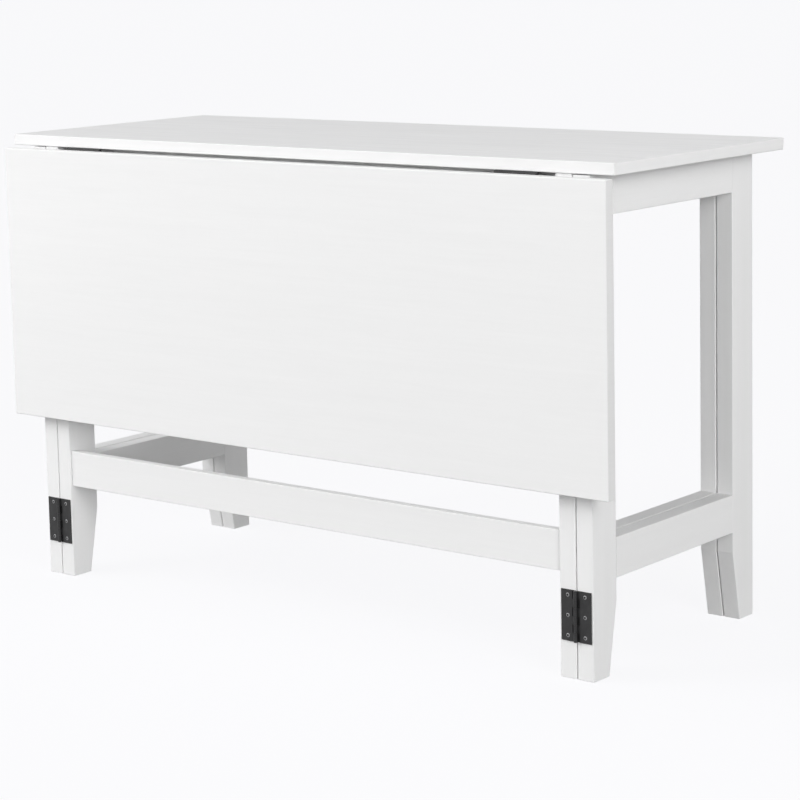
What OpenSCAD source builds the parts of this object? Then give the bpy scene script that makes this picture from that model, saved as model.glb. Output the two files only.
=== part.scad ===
// Drop-leaf dining table with two end frames and a gate hinged to each.
// Millimetres. +X runs along the table, -Y is the side the leaf hangs on,
// +Z is up. The origin is on the floor, under the middle of the closed table.

/* [Top and leaf] */
// Height of the top face above the floor
table_h = 750; // [720:1:800]
// Length of the fixed top and of the leaf
top_l = 1210; // [900:1:1600]
// Depth of the fixed top, front to back
top_d = 465; // [440:1:520]
// Size of the leaf from its hinged edge to its free edge
leaf_drop = 453; // [445:1:520]
// Thickness of the fixed top and of the leaf
board_t = 18; // [16:0.5:30]
// Distance of the leaf's hinge axis ahead of the top's front edge
axis_ahead = 1; // [0.5:0.1:2]
// Distance of the leaf's hinged edge below the hinge axis
leaf_edge_gap = 0.5; // [0.3:0.1:2]

/* [End frames and gates] */
// Overhang of the top past each gate
end_overhang = 44; // [20:1:120]
// Overhang of the top behind the rear legs
back_overhang = 19; // [8:1:40]
// Thickness of every leg and end rail
leg_t = 28; // [26:0.5:40]
// Width of every leg, front to back
leg_w = 60; // [58:1:80]
// Width of every foot at the floor
foot_w = 40; // [25:1:55]
// Height at which the feet start to taper
taper_h = 110; // [60:1:135]
// Gap between an end frame and the gate beside it
gate_gap = 2; // [1:0.5:4]
// Gap between the top of a gate and the board above it
gate_drop = 1.5; // [0.5:0.1:4]

/* [Rails] */
// Height of every end rail
rail_h = 60; // [50:1:80]
// Height of the bottom end rails' lower edge above the floor
rail_z = 142; // [140:1:220]
// Height of the stretcher and the aprons
cross_h = 60; // [54:1:80]
// Thickness of the stretcher and the aprons
cross_t = 15; // [14:0.5:20]
// Height of the stretcher's lower edge above the floor
stretcher_z = 156; // [140:1:200]
// Distance of the stretcher and the rear apron behind the legs' outer faces
cross_recess = 3; // [0:0.5:8]
// Gap between the leaf hinges' plates and the front apron
apron_gap = 5; // [2:0.5:10]

/* [Hinges] */
// Length of every hinge
hinge_l = 76; // [72:1:90]
// Distance from a hinge's axis to the free edge of its plate
hinge_reach = 26; // [22:0.5:26]
// Thickness of the hinge plates
plate_t = 1.5; // [1.2:0.1:1.8]
// Number of knuckles in a hinge
knuckle_count = 6; // [3:1:8]
// Thickness of the web that each notch between a hinge's knuckles leaves
web_t = 0.3; // [0.2:0.05:0.4]
// Radius of the hinges' barrels
barrel_r = 3; // [2.8:0.1:3.6]
// Radius of the hinge pins
pin_r = 1.6; // [1.2:0.1:1.8]
// Height of the lower gate hinges' lower ends above the floor
low_hinge_z = 56; // [30:1:60]
// Distance of the upper gate hinges' upper ends below the top board
high_hinge_drop = 56; // [30:1:120]
// Distance from each end of the top to the middle of the leaf hinge
leaf_hinge_inset = 167; // [155:1:260]

/* [Fixings] */
// Radius of the hinge screws' shanks
screw_r = 1.75; // [1.2:0.05:2]
// Radius of the hinge screws' heads
screw_head_r = 3.6; // [2.8:0.1:4]
// Length of the hinge screws
screw_l = 15; // [10:0.5:16]
// Distance from a hinge's axis to its line of screws
screw_line = 15; // [12:0.5:17]
// Spacing of the screws along a hinge
screw_pitch = 30; // [20:0.5:31]
// Radius of the dowels in the end frames and gates
dowel_r = 4; // [3:0.5:5]
// Length of those dowels
dowel_l = 50; // [30:1:60]
// Spacing of the two dowels in each end rail joint
dowel_pitch = 20; // [20:1:24]
// Radius of the dowels in the stretcher and the aprons
cross_dowel_r = 3; // [2:0.5:4]
// Length of those dowels
cross_dowel_l = 30; // [20:1:36]
// Spacing of the two dowels in each stretcher or apron joint
cross_dowel_pitch = 40; // [38:1:44]
// Radius of the bolts that hold the stretcher and the aprons
bolt_r = 2.5; // [2:0.5:3]
// Length of those bolts under the head
bolt_l = 60; // [50:1:80]
// Radius of the bolts' heads
bolt_head_r = 5; // [4:0.5:6]
// Height of the bolts' heads
bolt_head_h = 4; // [3:0.5:6]
// Radius of the barrel nuts
nut_r = 5; // [4:0.5:6]
// Length of the barrel nuts
nut_l = 12; // [10:0.5:13]
// Radius of the shanks of the screws that hold the top
top_screw_r = 2; // [1.5:0.25:2.5]
// Radius of their heads
top_screw_head_r = 4; // [3:0.25:4.5]
// Length of those screws
top_screw_l = 40; // [30:1:50]
// Length of their tips inside the top board
top_screw_bite = 13; // [8:1:14]
// Spacing of the top screws along an end rail
rail_screw_pitch = 180; // [100:1:220]
// Spacing of the top screws along an apron
apron_screw_pitch = 500; // [300:1:600]

/* [Clearances] */
// Clearance around pins, screws, dowels and bolts
fit_gap = 0.05; // [0.02:0.01:0.1]
// Gap between neighbouring knuckles of a hinge
knuckle_gap = 0.3; // [0.2:0.05:0.6]
// Gap between a hinge's barrel and the wood behind it
barrel_gap = 0.3; // [0.3:0.05:0.5]
// Gap between the hanging leaf and the barrels of the gate hinges behind it
leaf_clearance = 0.5; // [0.3:0.1:3]
// Gap between a knuckle and the plate edge that is cut back for it
notch_gap = 3.6; // [1:0.1:4]
// Spare depth at each end of a dowel's hole
dowel_end_gap = 1; // [0.5:0.1:2]
// Depth of the bolt heads below the wood
head_sink = 1; // [0.5:0.1:2]
// Clearance around the heads of bolts and top screws
head_gap = 0.5; // [0.2:0.1:1]

/* [Hidden] */

LEFT = -1;
RIGHT = 1;
$fn = 48;

WHITE = [0.95, 0.95, 0.95];
BLACK = [0.12, 0.12, 0.13];
STEEL = [0.62, 0.63, 0.65];
BEECH = [0.80, 0.66, 0.48];

// Overlap that lets one cut run into the next
cut = 0.5;

// Height of the plane under the top board, which the leaf's inner face meets when it is raised
under_z = table_h - board_t;

// Distance of a hinge's axis from the wood that its plates are screwed to
hinge_seat = barrel_r + barrel_gap;

// Front to back, the closed table runs from the leaf's outer face to the top's back edge
leaf_reach = axis_ahead + hinge_seat + board_t;
top_front = (leaf_reach - top_d) / 2;
top_back = top_front + top_d;
leaf_axis_y = top_front - axis_ahead;
leaf_axis_z = under_z - hinge_seat;
leaf_inner_y = leaf_axis_y - hinge_seat;

// End frames, on the right side: the gate is outside, the fixed frame inside
gate_out = top_l / 2 - end_overhang;
gate_in = gate_out - leg_t;
frame_out = gate_in - gate_gap;
frame_in = frame_out - leg_t;
gate_axis_x = gate_in - gate_gap / 2;
leg_front = leaf_inner_y + leaf_clearance + barrel_r + hinge_seat;
leg_back = top_back - back_overhang;
gate_axis_y = leg_front - hinge_seat;
gate_top = under_z - gate_drop;
rail_front = leg_front + leg_w;
rail_back = leg_back - leg_w;
rail_mid = (rail_front + rail_back) / 2;

// Heights of the middles of the two gate hinges
low_hinge_mid = low_hinge_z + hinge_l / 2;
high_hinge_mid = under_z - high_hinge_drop - hinge_l / 2;
GATE_HINGES = [low_hinge_mid, high_hinge_mid];

// Height of the underside of the top screws' heads
top_screw_head_z = under_z + top_screw_bite - top_screw_l;

// Front faces and middles of the stretcher and the aprons
stretcher_y = leg_front + cross_recess;
front_apron_y = leaf_axis_y + hinge_reach + apron_gap;
rear_apron_y = leg_back - cross_recess - cross_t;
stretcher_mid_z = stretcher_z + cross_h / 2;
apron_mid_z = under_z - cross_h / 2;

// Each end joint of a cross rail: the middle of its thickness and height
STRETCHER_JOINT = [stretcher_y + cross_t / 2, stretcher_mid_z];
FRONT_APRON_JOINT = [front_apron_y + cross_t / 2, apron_mid_z];
REAR_APRON_JOINT = [rear_apron_y + cross_t / 2, apron_mid_z];

knuckle_pitch = hinge_l / knuckle_count;
knuckle_l = knuckle_pitch - knuckle_gap;
leaf_hinge_x = top_l / 2 - leaf_hinge_inset;

// The barrel nut lies this far from the end of its rail, near the bolt's tip
nut_overrun = 6;
nut_inset = bolt_l + head_sink + bolt_head_h - leg_t - nut_overrun;

// Cross recess in the screw heads, as long as the head's radius
recess_w = 0.9;
recess_d = 0.9;

// Length and end radius of the screws' points
point_l = 3;
point_r = 0.45;
top_screw_head_h = 2.5;

// A hinge's strip rises this far inside its barrel's side, so that the two are one solid
strip_inset = 0.2;

// The part is drawn for the right side, and the left one is its mirror image
module on_side(side) {
    mirror([side == LEFT ? 1 : 0, 0, 0]) children();
}

module on_both_sides() {
    on_side(LEFT) children();
    on_side(RIGHT) children();
}

module x_rod(r, l) {
    rotate([0, 90, 0]) cylinder(r = r, h = l);
}

module y_rod(r, l) {
    rotate([-90, 0, 0]) cylinder(r = r, h = l);
}

// Legs and end rails

module leg_blank(x, top_z) {
    outline = [[0, 0], [foot_w, 0], [leg_w, taper_h], [leg_w, top_z], [0, top_z]];
    translate([x, 0, 0]) rotate([90, 0, 90]) linear_extrude(leg_t) polygon(outline);
}

module front_leg_blank(x, top_z) {
    translate([0, leg_front, 0]) leg_blank(x, top_z);
}

module rear_leg_blank(x, top_z) {
    translate([0, leg_back, 0]) mirror([0, 1, 0]) leg_blank(x, top_z);
}

module rail_blank(x, z) {
    translate([x, rail_front, z]) cube([leg_t, rail_back - rail_front, rail_h]);
}

// Dowels of one end frame or gate: two in each of its four joints
module rail_dowels(x, top_z, r, l) {
    for (y = [rail_front, rail_back], z = [rail_z + rail_h / 2, top_z - rail_h / 2], s = [-1, 1])
        translate([x + leg_t / 2, y - l / 2, z + s * dowel_pitch / 2]) y_rod(r, l);
}

module rail_dowel_holes(x, top_z) {
    rail_dowels(x, top_z, dowel_r + fit_gap, dowel_l + 2 * dowel_end_gap);
}

// Joint of a cross rail with the end frame beside it: two dowels, a bolt and a barrel nut

module cross_dowels(joint, r, l) {
    for (s = [-1, 1])
        translate([frame_in - l / 2, joint[0], joint[1] + s * cross_dowel_pitch / 2]) x_rod(r, l);
}

module cross_bolt(joint) {
    tip = frame_out - head_sink - bolt_head_h - bolt_l;
    socket_r = bolt_head_r / 2;
    translate([tip, joint[0], joint[1]]) difference() {
        union() {
            x_rod(bolt_r, bolt_l + cut);
            translate([bolt_l, 0, 0]) x_rod(bolt_head_r, bolt_head_h);
        }
        translate([bolt_l + bolt_head_h / 2, 0, 0]) rotate([0, 90, 0])
            cylinder(r = socket_r, h = bolt_head_h, $fn = 6);
    }
}

module cross_bolt_hole(joint) {
    head_room = head_sink + bolt_head_h;
    tip = frame_out - head_room - bolt_l - dowel_end_gap;
    translate([tip, joint[0], joint[1]]) x_rod(bolt_r + fit_gap, frame_out - tip);
    translate([frame_out - head_room, joint[0], joint[1]]) x_rod(bolt_head_r + head_gap, head_room + cut);
}

module barrel_nut(joint) {
    difference() {
        translate([frame_in - nut_inset, joint[0] - nut_l / 2, joint[1]]) y_rod(nut_r, nut_l);
        cross_bolt_hole(joint);
    }
}

// The nut's hole runs from the rail's middle out through its inner face
module nut_hole(joint, inner) {
    translate([frame_in - nut_inset, joint[0], joint[1]]) {
        translate([0, -nut_l / 2, 0]) y_rod(nut_r + fit_gap, nut_l);
        mirror([0, inner < 0 ? 1 : 0, 0]) y_rod(nut_r + fit_gap, cross_t);
    }
}

module cross_joint_holes(joint) {
    cross_dowels(joint, cross_dowel_r + fit_gap, cross_dowel_l + 2 * dowel_end_gap);
    cross_bolt_hole(joint);
}

module cross_rail(joint, inner) {
    color(WHITE) difference() {
        translate([-frame_in, joint[0] - cross_t / 2, joint[1] - cross_h / 2])
            cube([2 * frame_in, cross_t, cross_h]);
        on_both_sides() {
            cross_joint_holes(joint);
            nut_hole(joint, inner);
            children();
        }
    }
}

// Screws that hold the top: up through the fixed top rails and the aprons

module top_screw() {
    shank_l = top_screw_l - point_l - top_screw_head_h;
    translate([0, 0, top_screw_head_z]) {
        difference() {
            cylinder(r = top_screw_head_r, h = top_screw_head_h);
            screw_recess(top_screw_head_r);
        }
        translate([0, 0, top_screw_head_h]) {
            cylinder(r = top_screw_r, h = shank_l);
            translate([0, 0, shank_l]) cylinder(r1 = top_screw_r, r2 = point_r, h = point_l);
        }
    }
}

module top_screw_hole() {
    bottom_z = under_z - max(rail_h, cross_h) - cut;
    head_top_z = top_screw_head_z + top_screw_head_h;
    translate([0, 0, top_screw_head_z]) cylinder(r = top_screw_r + fit_gap, h = top_screw_l + fit_gap);
    translate([0, 0, bottom_z]) cylinder(r = top_screw_head_r + head_gap, h = head_top_z - bottom_z);
}

module at_rail_screws() {
    for (s = [-1, 1])
        translate([frame_in + leg_t / 2, rail_mid + s * rail_screw_pitch / 2, 0]) children();
}

module at_apron_screws() {
    for (joint = [FRONT_APRON_JOINT, REAR_APRON_JOINT])
        translate([apron_screw_pitch / 2, joint[0], 0]) children();
}

// Hinges. One half is drawn with its axis on Z, its plate towards +X and the wood towards +Y

module screw_recess(head_r) {
    for (turn = [0, 90])
        rotate([0, 0, turn]) translate([-head_r / 2, -recess_w / 2, -cut])
            cube([head_r, recess_w, recess_d + cut]);
}

// All gate hinges are one product: seen from the front, the half on the right has the top knuckle
function first_knuckle(on_right) = on_right ? 1 : 0;

module hinge_half(first) {
    edge = barrel_r + notch_gap;
    bend = barrel_r - plate_t - strip_inset;
    // The web reaches this far in under the other half's knuckles and stays clear of them
    web_edge = barrel_r / 2;
    difference() {
        union() {
            translate([edge, hinge_seat - plate_t, -hinge_l / 2])
                cube([hinge_reach - edge, plate_t, hinge_l]);
            translate([web_edge, hinge_seat - web_t, -hinge_l / 2])
                cube([edge - web_edge + cut, web_t, hinge_l]);
            for (k = [first : 2 : knuckle_count - 1])
                translate([0, 0, k * knuckle_pitch + knuckle_gap / 2 - hinge_l / 2]) {
                    cylinder(r = barrel_r, h = knuckle_l);
                    translate([bend, 0, 0]) cube([plate_t, hinge_seat, knuckle_l]);
                    translate([bend, hinge_seat - plate_t, 0])
                        cube([edge - bend + cut, plate_t, knuckle_l]);
                }
        }
        translate([0, 0, -hinge_l / 2 - cut]) cylinder(r = pin_r + fit_gap, h = hinge_l + 2 * cut);
        hinge_screws(fit_gap);
    }
}

module hinge_pin() {
    color(BLACK) translate([0, 0, -hinge_l / 2]) cylinder(r = pin_r, h = hinge_l);
}

// A gap makes the same shape a little larger, as the hole that a screw sits in
module hinge_screws(gap) {
    for (k = [-1, 0, 1])
        translate([screw_line, hinge_seat - plate_t, k * screw_pitch]) rotate([-90, 0, 0])
            hinge_screw(gap);
}

module hinge_screw(gap) {
    difference() {
        union() {
            cylinder(r1 = screw_head_r + gap, r2 = screw_r + gap, h = plate_t);
            cylinder(r = screw_r + gap, h = screw_l - point_l);
            translate([0, 0, screw_l - point_l])
                cylinder(r1 = screw_r + gap, r2 = point_r + gap, h = point_l + gap);
            // A hole is open above the screw's head
            if (gap > 0) translate([0, 0, -cut]) cylinder(r = screw_head_r + gap, h = cut);
        }
        if (gap == 0) screw_recess(screw_head_r);
    }
}

module at_gate_hinge(z) {
    translate([gate_axis_x, gate_axis_y, z]) children();
}

// The frame's half of a gate hinge points the other way along X
module to_frame() {
    mirror([1, 0, 0]) children();
}

// The leaf hinges lie along X: the top's half points back, the leaf's half points down

module at_leaf_hinge(side) {
    translate([side * leaf_hinge_x, leaf_axis_y, leaf_axis_z]) children();
}

module to_top() {
    rotate([90, 0, 90]) children();
}

module to_leaf() {
    rotate([180, 90, 0]) mirror([0, 0, 1]) children();
}

module table_top() {
    color(WHITE) difference() {
        translate([-top_l / 2, top_front, under_z]) cube([top_l, top_d, board_t]);
        for (side = [LEFT, RIGHT])
            at_leaf_hinge(side) to_top() hinge_screws(fit_gap);
        on_both_sides() {
            at_rail_screws() top_screw_hole();
            at_apron_screws() top_screw_hole();
        }
    }
}

module drop_leaf() {
    leaf_top = leaf_axis_z - leaf_edge_gap;
    color(WHITE) difference() {
        translate([-top_l / 2, leaf_inner_y - board_t, leaf_top - leaf_drop])
            cube([top_l, board_t, leaf_drop]);
        for (side = [LEFT, RIGHT])
            at_leaf_hinge(side) to_leaf() hinge_screws(fit_gap);
    }
}

module frame_front_leg(side) {
    color(WHITE) on_side(side) difference() {
        front_leg_blank(frame_in, under_z);
        rail_dowel_holes(frame_in, under_z);
        cross_joint_holes(STRETCHER_JOINT);
        cross_joint_holes(FRONT_APRON_JOINT);
        for (z = GATE_HINGES)
            at_gate_hinge(z) to_frame() hinge_screws(fit_gap);
    }
}

module frame_rear_leg(side) {
    color(WHITE) on_side(side) difference() {
        rear_leg_blank(frame_in, under_z);
        rail_dowel_holes(frame_in, under_z);
        cross_joint_holes(REAR_APRON_JOINT);
    }
}

module frame_top_rail(side) {
    color(WHITE) on_side(side) difference() {
        rail_blank(frame_in, under_z - rail_h);
        rail_dowel_holes(frame_in, under_z);
        at_rail_screws() top_screw_hole();
    }
}

module frame_bottom_rail(side) {
    color(WHITE) on_side(side) difference() {
        rail_blank(frame_in, rail_z);
        rail_dowel_holes(frame_in, under_z);
    }
}

module gate_front_leg(side) {
    color(WHITE) on_side(side) difference() {
        front_leg_blank(gate_in, gate_top);
        rail_dowel_holes(gate_in, gate_top);
        for (z = GATE_HINGES)
            at_gate_hinge(z) hinge_screws(fit_gap);
    }
}

module gate_rear_leg(side) {
    color(WHITE) on_side(side) difference() {
        rear_leg_blank(gate_in, gate_top);
        rail_dowel_holes(gate_in, gate_top);
    }
}

module gate_top_rail(side) {
    color(WHITE) on_side(side) difference() {
        rail_blank(gate_in, gate_top - rail_h);
        rail_dowel_holes(gate_in, gate_top);
    }
}

module gate_bottom_rail(side) {
    color(WHITE) on_side(side) difference() {
        rail_blank(gate_in, rail_z);
        rail_dowel_holes(gate_in, gate_top);
    }
}

module front_stretcher() {
    cross_rail(STRETCHER_JOINT, 1);
}

module front_apron() {
    cross_rail(FRONT_APRON_JOINT, 1) at_apron_screws() top_screw_hole();
}

module rear_apron() {
    cross_rail(REAR_APRON_JOINT, -1) at_apron_screws() top_screw_hole();
}

module leaf_hinge_top_plate(side) {
    color(BLACK) at_leaf_hinge(side) to_top() hinge_half(first_knuckle(false));
}

module leaf_hinge_leaf_plate(side) {
    color(BLACK) at_leaf_hinge(side) to_leaf() hinge_half(first_knuckle(true));
}

module leaf_hinge_pin(side) {
    at_leaf_hinge(side) to_top() hinge_pin();
}

module gate_hinge_frame_plate(side, z) {
    color(BLACK) on_side(side) at_gate_hinge(z) to_frame() hinge_half(first_knuckle(side == LEFT));
}

module gate_hinge_gate_plate(side, z) {
    color(BLACK) on_side(side) at_gate_hinge(z) hinge_half(first_knuckle(side == RIGHT));
}

module gate_hinge_pin(side, z) {
    on_side(side) at_gate_hinge(z) hinge_pin();
}

module top_hinge_screws() {
    color(BLACK) for (side = [LEFT, RIGHT])
        at_leaf_hinge(side) to_top() hinge_screws(0);
}

module leaf_hinge_screws() {
    color(BLACK) for (side = [LEFT, RIGHT])
        at_leaf_hinge(side) to_leaf() hinge_screws(0);
}

module frame_hinge_screws(side) {
    color(BLACK) on_side(side) for (z = GATE_HINGES)
        at_gate_hinge(z) to_frame() hinge_screws(0);
}

module gate_hinge_screws(side) {
    color(BLACK) on_side(side) for (z = GATE_HINGES)
        at_gate_hinge(z) hinge_screws(0);
}

module frame_dowels(side) {
    color(BEECH) on_side(side) rail_dowels(frame_in, under_z, dowel_r, dowel_l);
}

module gate_dowels(side) {
    color(BEECH) on_side(side) rail_dowels(gate_in, gate_top, dowel_r, dowel_l);
}

module cross_rail_dowels() {
    color(BEECH) on_both_sides()
        for (joint = [STRETCHER_JOINT, FRONT_APRON_JOINT, REAR_APRON_JOINT])
            cross_dowels(joint, cross_dowel_r, cross_dowel_l);
}

module cross_rail_bolts() {
    color(STEEL) on_both_sides()
        for (joint = [STRETCHER_JOINT, FRONT_APRON_JOINT, REAR_APRON_JOINT])
            cross_bolt(joint);
}

module barrel_nuts() {
    color(STEEL) on_both_sides()
        for (joint = [STRETCHER_JOINT, FRONT_APRON_JOINT, REAR_APRON_JOINT])
            barrel_nut(joint);
}

module top_fixing_screws() {
    color(STEEL) on_both_sides() {
        at_rail_screws() top_screw();
        at_apron_screws() top_screw();
    }
}

table_top();
drop_leaf();
frame_front_leg(LEFT);  // left_frame_front_leg
frame_rear_leg(LEFT);  // left_frame_rear_leg
frame_top_rail(LEFT);  // left_frame_top_rail
frame_bottom_rail(LEFT);  // left_frame_bottom_rail
frame_front_leg(RIGHT);  // right_frame_front_leg
frame_rear_leg(RIGHT);  // right_frame_rear_leg
frame_top_rail(RIGHT);  // right_frame_top_rail
frame_bottom_rail(RIGHT);  // right_frame_bottom_rail
gate_front_leg(LEFT);  // left_gate_front_leg
gate_rear_leg(LEFT);  // left_gate_rear_leg
gate_top_rail(LEFT);  // left_gate_top_rail
gate_bottom_rail(LEFT);  // left_gate_bottom_rail
gate_front_leg(RIGHT);  // right_gate_front_leg
gate_rear_leg(RIGHT);  // right_gate_rear_leg
gate_top_rail(RIGHT);  // right_gate_top_rail
gate_bottom_rail(RIGHT);  // right_gate_bottom_rail
front_stretcher();
front_apron();
rear_apron();
leaf_hinge_top_plate(LEFT);  // left_leaf_hinge_top_plate
leaf_hinge_leaf_plate(LEFT);  // left_leaf_hinge_leaf_plate
leaf_hinge_pin(LEFT);  // left_leaf_hinge_pin
leaf_hinge_top_plate(RIGHT);  // right_leaf_hinge_top_plate
leaf_hinge_leaf_plate(RIGHT);  // right_leaf_hinge_leaf_plate
leaf_hinge_pin(RIGHT);  // right_leaf_hinge_pin
gate_hinge_frame_plate(LEFT, low_hinge_mid);  // left_lower_hinge_frame_plate
gate_hinge_gate_plate(LEFT, low_hinge_mid);  // left_lower_hinge_gate_plate
gate_hinge_pin(LEFT, low_hinge_mid);  // left_lower_hinge_pin
gate_hinge_frame_plate(LEFT, high_hinge_mid);  // left_upper_hinge_frame_plate
gate_hinge_gate_plate(LEFT, high_hinge_mid);  // left_upper_hinge_gate_plate
gate_hinge_pin(LEFT, high_hinge_mid);  // left_upper_hinge_pin
gate_hinge_frame_plate(RIGHT, low_hinge_mid);  // right_lower_hinge_frame_plate
gate_hinge_gate_plate(RIGHT, low_hinge_mid);  // right_lower_hinge_gate_plate
gate_hinge_pin(RIGHT, low_hinge_mid);  // right_lower_hinge_pin
gate_hinge_frame_plate(RIGHT, high_hinge_mid);  // right_upper_hinge_frame_plate
gate_hinge_gate_plate(RIGHT, high_hinge_mid);  // right_upper_hinge_gate_plate
gate_hinge_pin(RIGHT, high_hinge_mid);  // right_upper_hinge_pin
top_hinge_screws();
leaf_hinge_screws();
frame_hinge_screws(LEFT);  // left_frame_hinge_screws
frame_hinge_screws(RIGHT);  // right_frame_hinge_screws
gate_hinge_screws(LEFT);  // left_gate_hinge_screws
gate_hinge_screws(RIGHT);  // right_gate_hinge_screws
frame_dowels(LEFT);  // left_frame_dowels
frame_dowels(RIGHT);  // right_frame_dowels
gate_dowels(LEFT);  // left_gate_dowels
gate_dowels(RIGHT);  // right_gate_dowels
cross_rail_dowels();
cross_rail_bolts();
barrel_nuts();
top_fixing_screws();
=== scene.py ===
import math

import bmesh
import bpy
from mathutils import Matrix, Vector


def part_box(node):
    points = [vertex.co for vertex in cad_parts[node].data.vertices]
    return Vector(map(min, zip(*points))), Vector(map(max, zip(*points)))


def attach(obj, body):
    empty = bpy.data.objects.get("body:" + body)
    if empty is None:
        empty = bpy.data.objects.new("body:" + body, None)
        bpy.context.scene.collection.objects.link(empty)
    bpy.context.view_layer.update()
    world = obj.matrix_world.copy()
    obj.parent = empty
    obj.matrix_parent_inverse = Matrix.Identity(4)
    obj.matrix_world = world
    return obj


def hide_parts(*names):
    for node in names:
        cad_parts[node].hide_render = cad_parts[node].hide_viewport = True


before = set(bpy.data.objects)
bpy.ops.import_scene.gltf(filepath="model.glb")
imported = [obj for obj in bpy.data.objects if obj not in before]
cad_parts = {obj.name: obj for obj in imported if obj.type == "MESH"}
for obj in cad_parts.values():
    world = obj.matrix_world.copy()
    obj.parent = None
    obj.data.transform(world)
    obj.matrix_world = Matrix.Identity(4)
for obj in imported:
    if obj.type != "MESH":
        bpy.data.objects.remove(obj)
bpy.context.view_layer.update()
scene = bpy.context.scene
scene.view_settings.view_transform = "Standard"

# Axes and sides of the table

X, Y, Z = 0, 1, 2
AXES = "XYZ"
SIDES = {"left": -1, "right": 1}


# Camera of the photograph: metres, degrees and millimetres

CAMERA_PLACE = Vector((2.4928, -3.0535, 1.0640))
CAMERA_YAW, CAMERA_PITCH, CAMERA_ROLL = (math.radians(a) for a in (38.728, -7.905, -1.187))
UPRIGHT = math.radians(90)
SENSOR_WIDTH = 36.0
FOCAL_LENGTH = 110.93
LENS_SHIFT = -0.15
CLIP_START, CLIP_END = 0.05, 1000.0


def added(name, data):
    """A new object of that data, in the scene."""
    thing = bpy.data.objects.new(name, data)
    scene.collection.objects.link(thing)
    return thing


camera = added("camera", bpy.data.cameras.new("camera"))
camera.data.sensor_width = SENSOR_WIDTH
camera.data.lens = FOCAL_LENGTH
camera.data.shift_y = LENS_SHIFT
camera.data.clip_start = CLIP_START
camera.data.clip_end = CLIP_END
camera.matrix_world = (
    Matrix.Translation(CAMERA_PLACE)
    @ Matrix.Rotation(CAMERA_YAW, 4, "Z")
    @ Matrix.Rotation(UPRIGHT + CAMERA_PITCH, 4, "X")
    @ Matrix.Rotation(CAMERA_ROLL, 4, "Z")
)
scene.camera = camera


# Node helpers

def new_material(name):
    """A material with an empty Principled shader, its nodes and links."""
    material = bpy.data.materials.new(name)
    material.use_nodes = True
    nodes = material.node_tree.nodes
    return material, nodes, material.node_tree.links, nodes["Principled BSDF"]


# Where nearly all values of a noise lie
NOISE_LOW, NOISE_HIGH = 0.3, 0.7


def stretched_noise(nodes, links, place, scale, detail, roughness=0.6):
    """A noise over the object's own coordinates, with its own scale along each axis."""
    mapping = nodes.new("ShaderNodeMapping")
    mapping.inputs["Scale"].default_value = scale
    noise = nodes.new("ShaderNodeTexNoise")
    noise.inputs["Scale"].default_value = 1.0
    noise.inputs["Detail"].default_value = detail
    noise.inputs["Roughness"].default_value = roughness
    links.new(place, mapping.inputs["Vector"])
    links.new(mapping.outputs["Vector"], noise.inputs["Vector"])
    return noise.outputs["Fac"]


def ramp(nodes, links, value, to_low, to_high, low=NOISE_LOW, high=NOISE_HIGH):
    """Maps value from low..high to to_low..to_high, held at the ends."""
    node = nodes.new("ShaderNodeMapRange")
    node.inputs["From Min"].default_value = low
    node.inputs["From Max"].default_value = high
    node.inputs["To Min"].default_value = to_low
    node.inputs["To Max"].default_value = to_high
    links.new(value, node.inputs["Value"])
    return node.outputs["Result"]


def math_node(nodes, links, operation, a, b):
    """The result of one operation on two values, each a number or a socket."""
    node = nodes.new("ShaderNodeMath")
    node.operation = operation
    for slot, value in ((0, a), (1, b)):
        if isinstance(value, (int, float)):
            node.inputs[slot].default_value = value
        else:
            links.new(value, node.inputs[slot])
    return node.outputs["Value"]


def tinted(nodes, links, colour, factor):
    """The colour times a factor, which is a socket near 1."""
    node = nodes.new("ShaderNodeVectorMath")
    node.operation = "SCALE"
    node.inputs[0].default_value = colour
    links.new(factor, node.inputs["Scale"])
    return node.outputs["Vector"]


def bump(nodes, links, height, distance):
    """Normals of a fine relief that is distance deep."""
    node = nodes.new("ShaderNodeBump")
    node.inputs["Distance"].default_value = distance
    node.inputs["Strength"].default_value = 1.0
    links.new(height, node.inputs["Height"])
    return node.outputs["Normal"]


def object_place(nodes):
    """The object's own coordinates."""
    return nodes.new("ShaderNodeTexCoord").outputs["Object"]


# Materials

# Scales of the lacquered wood's figure and of its slow changes of tone, across and along the grain
FIGURE_ACROSS, FIGURE_ALONG = 55.0, 2.5
CLOUD_ACROSS, CLOUD_ALONG = 3.0, 1.2

# Scales of the bare wood's flecks and growth, of the black coat's pebbles and rubbed patches,
# and of the plating's patches
FLECKS, GROWTH = 700.0, 120.0
PEBBLES, RUBBED = 1800.0, (90.0, 90.0, 60.0)
PATCHES = 220.0

# How far the slow changes of tone go, and how much of the relief the figure makes
CLOUD = 0.006
FIGURE_IN_RELIEF = 0.6

# Depths of the fine reliefs, in metres
LACQUER_RELIEF = 0.00008
WOOD_RELIEF = 0.0001
COAT_RELIEF = 0.00006
STEEL_RELIEF = 0.00002

COAT_GLOSS = 0.42


def grained(grain, across, along):
    """Scales of a noise that is drawn out along the grain's axis."""
    scale = [across] * 3
    scale[grain] = along
    return scale


def varied(nodes, links, noise, amount):
    """A factor that goes from 1 - amount to 1 + amount with the noise."""
    return ramp(nodes, links, noise, 1.0 - amount, 1.0 + amount)


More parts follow.
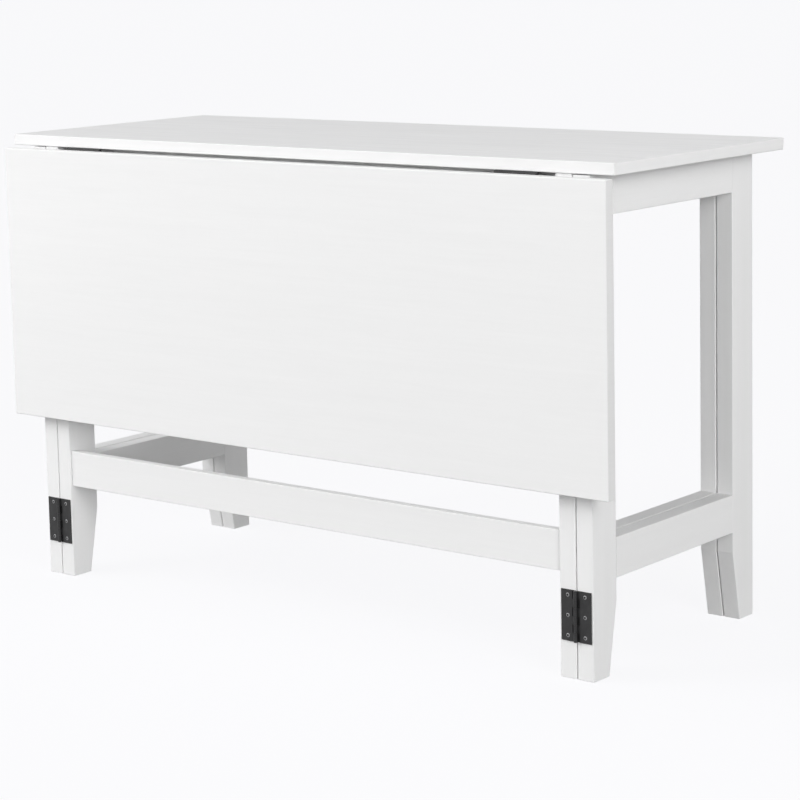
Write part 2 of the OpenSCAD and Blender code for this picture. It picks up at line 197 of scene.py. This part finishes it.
def lacquer(name, grain, grey, streak, figure, across=260.0, along=9.0, gloss=0.4):
    """White lacquer over wood whose grain runs along one axis.

    It has fine streaks, a soft figure and slow changes of tone. The values streak and figure
    say how far each changes the tone, across and along are the streaks' scales.
    """
    material, nodes, links, shader = new_material(name)
    place = object_place(nodes)
    fine = grained(grain, across, along)
    broad = grained(grain, FIGURE_ACROSS, FIGURE_ALONG)
    slow = grained(grain, CLOUD_ACROSS, CLOUD_ALONG)
    streaks = stretched_noise(nodes, links, place, fine, 5.0, 0.65)
    figures = stretched_noise(nodes, links, place, broad, 3.0)
    clouds = stretched_noise(nodes, links, place, slow, 2.0)
    tone = math_node(nodes, links, "MULTIPLY", varied(nodes, links, streaks, streak),
                     varied(nodes, links, figures, figure))
    tone = math_node(nodes, links, "MULTIPLY", tone, varied(nodes, links, clouds, CLOUD))
    links.new(tinted(nodes, links, [grey] * 3, tone), shader.inputs["Base Color"])
    links.new(ramp(nodes, links, streaks, 0.40, 0.50), shader.inputs["Roughness"])
    part = math_node(nodes, links, "MULTIPLY", figures, FIGURE_IN_RELIEF)
    relief = math_node(nodes, links, "ADD", streaks, part)
    links.new(bump(nodes, links, relief, LACQUER_RELIEF), shader.inputs["Normal"])
    shader.inputs["Specular IOR Level"].default_value = gloss
    return material


LACQUER = [lacquer(f"white_lacquer_{AXES[a]}", a, grey=0.86, streak=0.008, figure=0.006)
           for a in (X, Y, Z)]
# Painted shade: the top's upper and lower faces get a darker grey than the other boards
SHADED_TOP_LACQUER = lacquer("top_lacquer", X, grey=0.818, streak=0.045, figure=0.018,
                      across=150.0, along=10.0, gloss=0.25)
# Painted shade: the top's front, back and rounded edges get a darker grey
SHADED_EDGE_LACQUER = lacquer("shaded_edge_lacquer", X, grey=0.825, streak=0.008, figure=0.006)
# Painted light: the top's ends get a lighter grey
LIT_TOP_END_LACQUER = lacquer("lit_top_end_lacquer", Y, grey=0.885, streak=0.012, figure=0.008)
# Painted shade: the leaf's ends get a darker grey
SHADED_LEAF_END_LACQUER = lacquer("shaded_leaf_end_lacquer", Y, grey=0.785, streak=0.012, figure=0.008)


def bare_wood():
    """Unlacquered beech inside the bores and on the dowels."""
    material, nodes, links, shader = new_material("beech")
    place = object_place(nodes)
    flecks = stretched_noise(nodes, links, place, [FLECKS] * 3, 4.0)
    growth = stretched_noise(nodes, links, place, [GROWTH] * 3, 2.0)
    tone = math_node(nodes, links, "ADD", ramp(nodes, links, flecks, -0.10, 0.08),
                     varied(nodes, links, growth, 0.08))
    links.new(tinted(nodes, links, (0.72, 0.56, 0.38), tone), shader.inputs["Base Color"])
    links.new(ramp(nodes, links, flecks, 0.6, 0.8), shader.inputs["Roughness"])
    links.new(bump(nodes, links, flecks, WOOD_RELIEF), shader.inputs["Normal"])
    return material


def powder_coat(name, colour, low_rough, high_rough):
    """Satin black coat with a fine pebbled skin and faint rubbed patches."""
    material, nodes, links, shader = new_material(name)
    place = object_place(nodes)
    pebble = stretched_noise(nodes, links, place, [PEBBLES] * 3, 2.0)
    rubbed = stretched_noise(nodes, links, place, RUBBED, 4.0)
    tone = math_node(nodes, links, "MULTIPLY", ramp(nodes, links, pebble, 0.8, 1.2, 0.35, 0.65),
                     ramp(nodes, links, rubbed, 0.8, 1.6, 0.35, 0.75))
    links.new(tinted(nodes, links, colour, tone), shader.inputs["Base Color"])
    links.new(ramp(nodes, links, rubbed, high_rough, low_rough), shader.inputs["Roughness"])
    links.new(bump(nodes, links, pebble, COAT_RELIEF), shader.inputs["Normal"])
    shader.inputs["Specular IOR Level"].default_value = COAT_GLOSS
    return material


def metal(name, colour, low_rough, high_rough, scale, metallic=1.0):
    """Plated steel with fine turning marks of that scale and uneven gloss."""
    material, nodes, links, shader = new_material(name)
    place = object_place(nodes)
    marks = stretched_noise(nodes, links, place, [scale] * 3, 3.0)
    patches = stretched_noise(nodes, links, place, [PATCHES] * 3, 3.0)
    tone = math_node(nodes, links, "MULTIPLY", varied(nodes, links, marks, 0.1),
                     varied(nodes, links, patches, 0.2))
    links.new(tinted(nodes, links, colour, tone), shader.inputs["Base Color"])
    links.new(ramp(nodes, links, patches, low_rough, high_rough), shader.inputs["Roughness"])
    links.new(bump(nodes, links, marks, STEEL_RELIEF), shader.inputs["Normal"])
    shader.inputs["Metallic"].default_value = metallic
    return material


BEECH = bare_wood()
BLACK_COAT = powder_coat("black_hinge", (0.012, 0.012, 0.0125), 0.38, 0.55)
PIN_COAT = powder_coat("hinge_pin", (0.03, 0.03, 0.032), 0.3, 0.45)
# Near-black coat for the screws' recesses: painted shade
SHADED_RECESS_COAT = powder_coat("screw_recess", (0.008, 0.008, 0.008), 0.6, 0.8)
BLACK_STEEL = metal("black_screw", (0.30, 0.30, 0.305), 0.28, 0.45, 1500.0, 0.5)
ZINC = metal("zinc_steel", (0.62, 0.63, 0.65), 0.25, 0.42, 1200.0)


# Mesh helpers

# Points closer than this are one point, in metres
SAME_POINT = 1e-6

# Faces that meet at less than this angle are one flat face
FLAT_ANGLE = math.radians(0.5)

# Edges with more than this angle stay sharp to the eye
SHARP_ANGLE = math.radians(35.0)

# Least angle of a metal part's edge that is rounded
ROUNDED_ANGLE = math.radians(32)

# Least share of a direction in a unit vector that counts as looking or running that way
ALIGNED = 0.9

# How strongly the large faces decide the normals of the edges beside them
LARGE_FACE_WEIGHT = 100

# Places of a piece's own material and of the material of its bores or recesses; on the screws the
# recess material is a painted shade
OWN, CUT = 0, 1

# Turns that lay a cylinder's own Z along each axis
LAID = (Matrix.Rotation(math.radians(90), 4, "Y"),
        Matrix.Rotation(math.radians(-90), 4, "X"),
        Matrix.Identity(4))


def finished(name, data, body, *slots):
    """An object of that mesh data, with its materials, riding on a body."""
    piece = added(name, data)
    for material in slots:
        data.materials.append(material)
    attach(piece, body)
    return piece


def apply_modifiers(piece):
    """Writes the piece's modifiers into its mesh."""
    depsgraph = bpy.context.evaluated_depsgraph_get()
    mesh = bpy.data.meshes.new_from_object(piece.evaluated_get(depsgraph))
    old = piece.data
    piece.modifiers.clear()
    piece.data = mesh
    mesh.name = piece.name
    bpy.data.meshes.remove(old)


def mesh_data(name, mesh):
    """New mesh data of that name from a working mesh, which is freed."""
    data = bpy.data.meshes.new(name)
    mesh.to_mesh(data)
    mesh.free()
    return data


def carve(piece, tools):
    """Cuts closed meshes out of the piece.

    Each tool comes with the index of the piece's material that its faces leave behind.
    """
    if not tools:
        return
    joined = bmesh.new()
    for tool, index in tools:
        for face in tool.faces:
            face.material_index = index
        part = mesh_data("tool", tool)
        joined.from_mesh(part)
        bpy.data.meshes.remove(part)
    cutter = added("cutter", mesh_data("cutter", joined))
    for material in piece.data.materials:
        cutter.data.materials.append(material)
    cut = piece.modifiers.new("bores", "BOOLEAN")
    cut.operation = "DIFFERENCE"
    cut.solver = "EXACT"
    cut.material_mode = "TRANSFER"
    cut.object = cutter
    apply_modifiers(piece)
    bpy.data.objects.remove(cutter)


def round_edges(piece, method, width, segments):
    """Rounds the edges that have a weight or meet at an angle."""
    rounding = piece.modifiers.new("rounding", "BEVEL")
    rounding.limit_method = method
    rounding.angle_limit = ROUNDED_ANGLE
    rounding.width = width
    rounding.segments = segments
    apply_modifiers(piece)


def shade(piece):
    """Smooth shading with hard edges kept, and flat faces kept flat."""
    piece.data.shade_smooth()
    piece.data.set_sharp_from_angle(angle=SHARP_ANGLE)
    normals = piece.modifiers.new("normals", "WEIGHTED_NORMAL")
    normals.keep_sharp = True
    normals.weight = LARGE_FACE_WEIGHT
    apply_modifiers(piece)


def clean_copy(node):
    """The CAD node's mesh without its doubled points."""
    mesh = bmesh.new()
    mesh.from_mesh(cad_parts[node].data)
    bmesh.ops.remove_doubles(mesh, verts=mesh.verts, dist=SAME_POINT)
    return mesh


def flattened(mesh):
    """Joins the small faces that lie in one plane."""
    bmesh.ops.dissolve_limit(mesh, angle_limit=FLAT_ANGLE, verts=mesh.verts, edges=mesh.edges)
    return mesh


def outer_shape(node):
    """The board's outer shape, without its bores, as a mesh of flat faces."""
    mesh = clean_copy(node)
    hull = bmesh.ops.convex_hull(mesh, input=mesh.verts)
    inside = hull["geom_interior"] + hull["geom_unused"]
    loose = [v for v in inside if isinstance(v, bmesh.types.BMVert)]
    bmesh.ops.delete(mesh, geom=loose, context="VERTS")
    on_hull = {f for f in hull["geom"] if isinstance(f, bmesh.types.BMFace) and f.is_valid}
    bmesh.ops.delete(mesh, geom=[f for f in mesh.faces if f not in on_hull], context="FACES")
    return flattened(mesh)


def cylinder(centre, axis, radius, low, high, far_radius=None, sides=40):
    """A closed cylinder along one axis, from low to high.

    It is a cone if its radius at the high end is given.
    """
    mesh = bmesh.new()
    far_radius = radius if far_radius is None else far_radius
    bmesh.ops.create_cone(mesh, cap_ends=True, segments=sides, radius1=radius,
                          radius2=far_radius, depth=high - low)
    place = Vector(centre)
    place[axis] = (low + high) / 2
    bmesh.ops.transform(mesh, matrix=Matrix.Translation(place) @ LAID[axis], verts=mesh.verts)
    return mesh


def turned(profile, centre, axis, inward, sides=32):
    """A closed ring turned about one axis from points of radius and depth.

    The depth runs inward from the centre.
    """
    mesh = bmesh.new()
    u, v = (i for i in range(3) if i != axis)
    rings = []
    for radius, depth in profile:
        ring = []
        for k in range(sides):
            point = Vector(centre)
            point[u] += radius * math.cos(math.tau * k / sides)
            point[v] += radius * math.sin(math.tau * k / sides)
            point[axis] += inward * depth
            ring.append(mesh.verts.new(point))
        rings.append(ring)
    for i, ring in enumerate(rings):
        after = rings[(i + 1) % len(rings)]
        for k in range(sides):
            mesh.faces.new((ring[k - 1], ring[k], after[k], after[k - 1]))
    bmesh.ops.recalc_face_normals(mesh, faces=mesh.faces)
    return mesh


def islands(node):
    """Lowest and highest corners of each separate solid of a CAD node."""
    mesh = clean_copy(node)
    left, found = set(mesh.verts), []
    while left:
        reached = [left.pop()]
        for vert in reached:
            for edge in vert.link_edges:
                other = edge.other_vert(vert)
                if other in left:
                    left.discard(other)
                    reached.append(other)
        corners = [[pick(v.co[i] for v in reached) for i in range(3)] for pick in (min, max)]
        found.append((Vector(corners[0]), Vector(corners[1])))
    mesh.free()
    return found


# Makers of the boards and the metal parts, in metres

# Radii of the rounded edges: along a leg or rail, round the top and the leaf, at a butted end,
# and of the hinges' metal
LONG_ARRIS = 0.0012
TOP_ARRIS = 0.0015
BUTT_EDGE = 0.00025
METAL_EDGE = 0.0002

# Steps of a rounded edge
BOARD_SEGMENTS, METAL_SEGMENTS = 3, 2

# Width of the joint line where a low rail or the stretcher butts on a leg
JOINT_LINE = 0.0005

# How near a point lies to the board's end to be moved with it
AT_END = 1e-5

# Edges that lie wholly below this height are the feet's
FOOT_EDGE = 0.001


def board(node, body, grain, material, arris, bores=(), joint=0.0, free_ends=False):
    """A board in place of its CAD node, with its open bores.

    It is rounded along its grain and near sharp where it butts on another, or rounded all
    round if its ends are free. Its ends stay back by the joint line's width.
    """
    mesh = outer_shape(node)
    low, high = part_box(node)
    for vert in mesh.verts:
        for end, back in ((low[grain], joint), (high[grain], -joint)):
            if abs(vert.co[grain] - end) < AT_END:
                vert.co[grain] += back
    weight = mesh.edges.layers.float.new("bevel_weight_edge")
    for edge in mesh.edges:
        along = (edge.verts[1].co - edge.verts[0].co).normalized()
        at_foot = max(v.co.z for v in edge.verts) < FOOT_EDGE
        full = free_ends or at_foot or abs(along[grain]) > ALIGNED
        edge[weight] = 1.0 if full else BUTT_EDGE / arris
    piece = finished(f"{node}_board", mesh_data(node, mesh), body, material, BEECH)
    round_edges(piece, "WEIGHT", arris, BOARD_SEGMENTS)
    carve(piece, [(cylinder(*bore), CUT) for bore in bores])
    shade(piece)
    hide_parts(node)
    return piece


def softened(node, body, slot, *materials):
    """A metal part in place of its CAD node: the same shape with small rounded edges."""
    data = mesh_data(node, flattened(clean_copy(node)))
    piece = finished(f"{node}_metal", data, body, *materials)
    round_edges(piece, "ANGLE", METAL_EDGE, METAL_SEGMENTS)
    shade(piece)
    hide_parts(node)


# Bores that show: for the barrel nuts, the bolts' heads and the screws under the top

# Room round a fastener in its bore, and beyond a screw's head
ROOM = 0.0003
HEAD_ROOM = ROOM * 10

# How far a tool reaches out of the face that it opens, and how deep a bolt's head lies
OUTSIDE = 0.002
BOLT_HEAD_BORE = 0.0052


def nut_bores(node):
    """Bores of the barrel nuts in one cross rail, open towards the table's middle."""
    low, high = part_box(node)
    inner = high.y if abs(high.y) < abs(low.y) else low.y
    found = []
    for a, b in islands("barrel_nuts"):
        middle = (a + b) / 2
        if low.y < middle.y < high.y and low.z < middle.z < high.z:
            deep = a.y - ROOM if inner > middle.y else b.y + ROOM
            outside = inner + math.copysign(OUTSIDE, inner - middle.y)
            found.append((middle, Y, (b.x - a.x) / 2 + ROOM, *sorted((deep, outside))))
    return found


def screw_bores(node):
    """Bores from below for the screws that hold the top."""
    low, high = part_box(node)
    found = []
    for a, b in islands("top_fixing_screws"):
        middle = (a + b) / 2
        if low.x < middle.x < high.x and low.y < middle.y < high.y:
            ends = (low.z - OUTSIDE, a.z + HEAD_ROOM)
            found.append((middle, Z, (b.x - a.x) / 2 + ROOM, *ends))
    return found


def bolt_bores(node, side):
    """Bores for the bolts' heads in the outer face of a fixed frame's leg."""
    low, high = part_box(node)
    outer = high.x if side > 0 else low.x
    found = []
    for a, b in islands("cross_rail_bolts"):
        middle = (a + b) / 2
        if low.y < middle.y < high.y and middle.x * side > 0:
            ends = sorted((outer + side * OUTSIDE, outer - side * BOLT_HEAD_BORE))
            found.append((middle, X, (b.z - a.z) / 2 + ROOM, *ends))
    return found


# Boards

# The boards of an end frame or a gate, and the axis of each one's grain
FRAME_BOARDS = {"front_leg": Z, "rear_leg": Z, "top_rail": Y, "bottom_rail": Y}


def faced(piece, material, axis):
    """Gives the faces that look along one axis, either way, another material."""
    piece.data.materials.append(material)
    for polygon in piece.data.polygons:
        if abs(polygon.normal[axis]) > ALIGNED:
            polygon.material_index = len(piece.data.materials) - 1


# The top's faces get lighter or darker greys of the lacquer by which way they look: painted light
# and shade
top = board("table_top", "base", X, SHADED_EDGE_LACQUER, TOP_ARRIS, free_ends=True)
faced(top, SHADED_TOP_LACQUER, Z)
faced(top, LIT_TOP_END_LACQUER, X)
# The leaf's ends get a darker grey: painted shade
leaf = board("drop_leaf", "leaf", X, LACQUER[X], TOP_ARRIS, free_ends=True)
faced(leaf, SHADED_LEAF_END_LACQUER, X)
for node in ("front_stretcher", "front_apron", "rear_apron"):
    bores = nut_bores(node) + (screw_bores(node) if "apron" in node else [])
    board(node, "base", X, LACQUER[X], LONG_ARRIS, bores, JOINT_LINE)
for side_name, side in SIDES.items():
    for unit, body in (("frame", "base"), ("gate", f"{side_name}_gate")):
        for part, grain in FRAME_BOARDS.items():
            node = f"{side_name}_{unit}_{part}"
            bores = []
            if unit == "frame" and grain == Z:
                bores = bolt_bores(node, side)
            if unit == "frame" and part == "top_rail":
                bores = screw_bores(node)
            joint = JOINT_LINE if part == "bottom_rail" else 0.0
            board(node, body, grain, LACQUER[grain], LONG_ARRIS, bores, joint)

# Hinges and their screws

for side_name in SIDES:
    gate = f"{side_name}_gate"
    for level in ("lower", "upper"):
        hinge = f"{side_name}_{level}_hinge"
        softened(f"{hinge}_frame_plate", "base", "black_hinge", BLACK_COAT)
        softened(f"{hinge}_gate_plate", gate, "black_hinge", BLACK_COAT)
        softened(f"{hinge}_pin", "base", "hinge_pin", PIN_COAT)
    hinge = f"{side_name}_leaf_hinge"
    softened(f"{hinge}_top_plate", "base", "black_hinge", BLACK_COAT)
    softened(f"{hinge}_leaf_plate", "leaf", "black_hinge", BLACK_COAT)
    softened(f"{hinge}_pin", "base", "hinge_pin", PIN_COAT)


# What is turned off a screw's head to dome it, as shares of the head's radius: distances from
# its axis and depths under its face
DOME = ((0.52, 0.0), (0.64, 0.035), (0.76, 0.10), (0.86, 0.19),
        (1.3, 0.4), (1.3, -0.2), (0.52, -0.2))

# The recess in the same shares: its radii at the top and the tip, its depth, how far its tool
# stands out of the face, and its sides
RECESS_TOP, RECESS_TIP, RECESS_DEPTH, RECESS_RISE = 0.54, 0.2, 0.35, 0.1
RECESS_SIDES = 24

# Faces this near a screw's axis and this deep under its face take the near-black recess coat as
# painted shade, in metres
SHADE_REACH = 0.0018
SHADE_FROM, SHADE_TO = 0.00012, 0.0014


def screws(node, body, head_axis, head_side):
    """Hinge screws in place of their CAD node, with domed heads and tapered recesses painted near
    black as shade.
    """
    low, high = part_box(node)
    face = high[head_axis] if head_side > 0 else low[head_axis]
    across = [i for i in (X, Y, Z) if i != head_axis]
    data = mesh_data(node, flattened(clean_copy(node)))
    piece = finished(f"{node}_metal", data, body, BLACK_STEEL, SHADED_RECESS_COAT)
    tools, middles = [], []
    for a, b in islands(node):
        middle = (a + b) / 2
        middle[head_axis] = face
        radius = max(b[i] - a[i] for i in across) / 2
        profile = [(r * radius, d * radius) for r, d in DOME]
        tools.append((turned(profile, middle, head_axis, -head_side), OWN))
        ends = (face + head_side * RECESS_RISE * radius, face - head_side * RECESS_DEPTH * radius)
        radii = (RECESS_TOP * radius, RECESS_TIP * radius)
        if head_side > 0:
            ends, radii = ends[::-1], radii[::-1]
        recess = cylinder(middle, head_axis, radii[0], *ends, radii[1], RECESS_SIDES)
        tools.append((recess, CUT))
        middles.append(middle)
    carve(piece, tools)
    # Painted shade: the faces in and round each recess take the near-black coat
    for polygon in piece.data.polygons:
        centre = polygon.center
        reach = min(Vector([centre[i] - m[i] for i in across]).length for m in middles)
        if reach < SHADE_REACH and SHADE_FROM < abs(centre[head_axis] - face) < SHADE_TO:
            polygon.material_index = CUT
    shade(piece)
    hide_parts(node)


screws("top_hinge_screws", "base", Z, -1)
screws("leaf_hinge_screws", "leaf", Y, 1)
for side_name in SIDES:
    screws(f"{side_name}_frame_hinge_screws", "base", Y, -1)
    screws(f"{side_name}_gate_hinge_screws", f"{side_name}_gate", Y, -1)


# Fittings that keep their CAD shape

FITTINGS = {"barrel_nuts": ZINC, "cross_rail_bolts": ZINC, "top_fixing_screws": ZINC,
            "cross_rail_dowels": BEECH}
for side_name in SIDES:
    FITTINGS[f"{side_name}_frame_dowels"] = BEECH
    FITTINGS[f"{side_name}_gate_dowels"] = BEECH
for node, material in FITTINGS.items():
    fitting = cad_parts[node]
    fitting.data.materials.clear()
    fitting.data.materials.append(material)


# Floor

BACKDROP = (0.982, 0.982, 0.999, 1.0)

# Half the floor's width, in metres
FLOOR_REACH = 200.0

# How much light the floor returns to the table, how much where it is seen, and the backdrop's
# share of its seen tone
FLOOR_RETURNED, FLOOR_SEEN, BACKDROP_SHARE = 0.27, 0.85, 0.92


def seen_rays(nodes, links):
    """1 where the camera, gloss or glass looks, and 0 for the rays that carry light."""
    path = nodes.new("ShaderNodeLightPath")
    mirrored = math_node(nodes, links, "MAXIMUM", path.outputs["Is Glossy Ray"],
                         path.outputs["Is Transmission Ray"])
    return math_node(nodes, links, "MAXIMUM", path.outputs["Is Camera Ray"], mirrored)


def floor():
    """A pale plane with the object's soft shadow, near the backdrop's colour where it is seen."""
    mesh = bmesh.new()
    bmesh.ops.create_grid(mesh, x_segments=1, y_segments=1, size=FLOOR_REACH)
    plane = added("floor", mesh_data("floor", mesh))
    material = bpy.data.materials.new("floor")
    material.use_nodes = True
    nodes, links = material.node_tree.nodes, material.node_tree.links
    nodes.clear()
    output = nodes.new("ShaderNodeOutputMaterial")
    matte = nodes.new("ShaderNodeBsdfDiffuse")
    shown = nodes.new("ShaderNodeEmission")
    shown.inputs["Color"].default_value = BACKDROP
    shown.inputs["Strength"].default_value = 1.0
    seen = seen_rays(nodes, links)
    albedo = ramp(nodes, links, seen, FLOOR_RETURNED, FLOOR_SEEN, 0.0, 1.0)
    links.new(albedo, matte.inputs["Color"])
    mix = nodes.new("ShaderNodeMixShader")
    links.new(math_node(nodes, links, "MULTIPLY", seen, BACKDROP_SHARE), mix.inputs["Fac"])
    links.new(matte.outputs["BSDF"], mix.inputs[1])
    links.new(shown.outputs["Emission"], mix.inputs[2])
    links.new(mix.outputs["Shader"], output.inputs["Surface"])
    plane.data.materials.append(material)


floor()


# Lights

# Strength at which the seen sky meets the tone of the far floor
HORIZON = 0.957

# Strength of the light that comes from everywhere
AMBIENT = 0.10

# Each lobe of the soft light: the direction it comes from, its strength, and how narrow it is
LOBES = [((-0.332, -0.332, 0.883), 1.35, 10),
         ((-0.814, -0.47, 0.342), 7.1, 20),
         ((0.337, -0.925, 0.174), 3.2, 60),
         ((0.838, -0.523, 0.156), 17.0, 100),
         ((0.941, -0.252, 0.225), 9.6, 60),
         ((0.0, 0.99, 0.139), 4.5, 20)]


def soft_sky():
    """A world of the backdrop's colour where it is seen, and a soft studio light elsewhere."""
    world = bpy.data.worlds.new("studio")
    scene.world = world
    world.use_nodes = True
    nodes, links = world.node_tree.nodes, world.node_tree.links
    nodes.clear()
    output = nodes.new("ShaderNodeOutputWorld")
    place = nodes.new("ShaderNodeTexCoord").outputs["Generated"]
    strength = AMBIENT
    for direction, level, power in LOBES:
        dot = nodes.new("ShaderNodeVectorMath")
        dot.operation = "DOT_PRODUCT"
        links.new(place, dot.inputs[0])
        dot.inputs[1].default_value = Vector(direction).normalized()
        lit = math_node(nodes, links, "MAXIMUM", dot.outputs["Value"], 0.0)
        narrowed = math_node(nodes, links, "POWER", lit, power)
        lobe = math_node(nodes, links, "MULTIPLY", narrowed, level)
        strength = math_node(nodes, links, "ADD", lobe, strength)
    light = nodes.new("ShaderNodeBackground")
    links.new(strength, light.inputs["Strength"])
    shown = nodes.new("ShaderNodeBackground")
    shown.inputs["Color"].default_value = BACKDROP
    shown.inputs["Strength"].default_value = HORIZON
    seen = seen_rays(nodes, links)
    mix = nodes.new("ShaderNodeMixShader")
    links.new(seen, mix.inputs["Fac"])
    links.new(light.outputs["Background"], mix.inputs[1])
    links.new(shown.outputs["Background"], mix.inputs[2])
    links.new(mix.outputs["Shader"], output.inputs["Surface"])


def lamp(name, place, target, size, power):
    """A soft round lamp that the camera doesn't see."""
    data = bpy.data.lights.new(name, "AREA")
    data.shape = "DISK"
    data.size = size
    data.energy = power
    piece = added(name, data)
    piece.location = place
    piece.rotation_euler = (Vector(target) - Vector(place)).to_track_quat("-Z", "Y").to_euler()
    piece.visible_camera = False


soft_sky()
lamp("left_lamp", place=(-2.2, -2.6, 2.2), target=(-0.2, -0.2, 0.6), size=1.4, power=45.0)
lamp("right_lamp", place=(2.6, -1.2, 1.8), target=(0.5, 0.0, 0.5), size=1.2, power=20.0)
